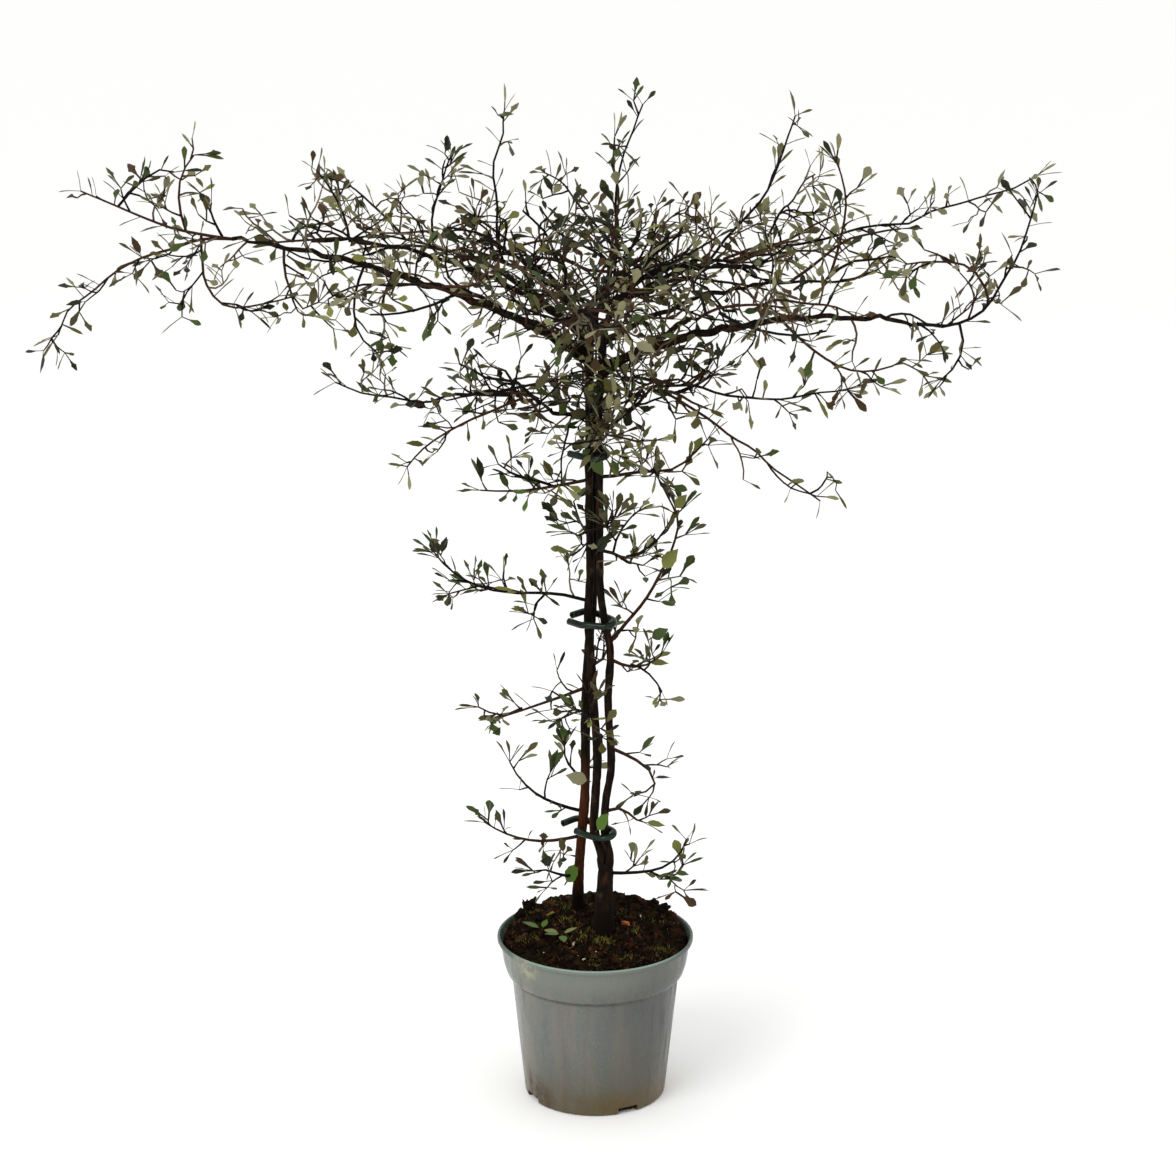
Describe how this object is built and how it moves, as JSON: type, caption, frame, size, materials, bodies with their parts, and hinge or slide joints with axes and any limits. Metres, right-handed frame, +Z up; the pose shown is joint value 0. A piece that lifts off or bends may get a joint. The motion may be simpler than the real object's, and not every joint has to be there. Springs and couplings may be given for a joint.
{
  "type": "potted wire netting bush",
  "caption": "Wiry small-leaved shrub trained as a small standard: twined stems with side sprays, a flat wide tangled crown, soft tube ties and a tapered round nursery pot filled with soil.",
  "frame": {"origin": "middle of the pot's flat underside", "axes": "+Z up along the pot's axis, +X to the right and +Y to the back, seen from the side of the crown's wide view"},
  "size_m": [0.9331, 0.5971, 0.974],
  "materials": {
    "bark": "dark, dry bark",
    "foliage": "small grey-green leaves on dark twigs",
    "tie_tube": "soft dark green tube",
    "pot_plastic": "grey moulded plastic with dirt marks",
    "soil": "dark potting soil with moss"
  },
  "bodies": {
    "root": {"trunk": "bark", "stem_centre": "bark", "stem_right": "bark", "stem_left": "bark", "bough_left": "bark", "bough_left_upper": "bark", "bough_left_back": "bark", "bough_left_front": "bark", "bough_right": "bark", "bough_right_outer": "bark", "bough_right_back": "bark", "bough_right_front": "bark", "bough_front": "bark", "bough_back": "bark", "bough_low_left": "bark", "bough_low_right": "bark", "crown_heart": "foliage", "crown_inner_left": "foliage", "crown_inner_right": "foliage", "crown_left_upper": "foliage", "crown_left_back": "foliage", "crown_left_front": "foliage", "crown_front": "foliage", "crown_back": "foliage", "crown_right_front": "foliage", "crown_right_back": "foliage", "crown_right_outer": "foliage", "crown_far_left": "foliage", "crown_far_right": "foliage", "low_left": "foliage", "low_right": "foliage", "low_front": "foliage", "low_back": "foliage", "side_left_high": "foliage", "side_left_middle": "foliage", "side_left_lower": "foliage", "side_left_curl": "foliage", "side_left_low": "foliage", "side_left_foot": "foliage", "side_right_high": "foliage", "side_right_arch": "foliage", "side_right_middle": "foliage", "side_right_lower": "foliage", "side_right_hook": "foliage", "side_right_low": "foliage", "side_right_foot": "foliage", "side_front_high": "foliage", "side_front_low": "foliage", "side_back_high": "foliage", "side_back_middle": "foliage", "side_back_low": "foliage", "tie_low": "tie_tube", "tie_middle": "tie_tube", "tie_high": "tie_tube", "pot": "pot_plastic", "soil": "soil"}
  },
  "joints": []
}
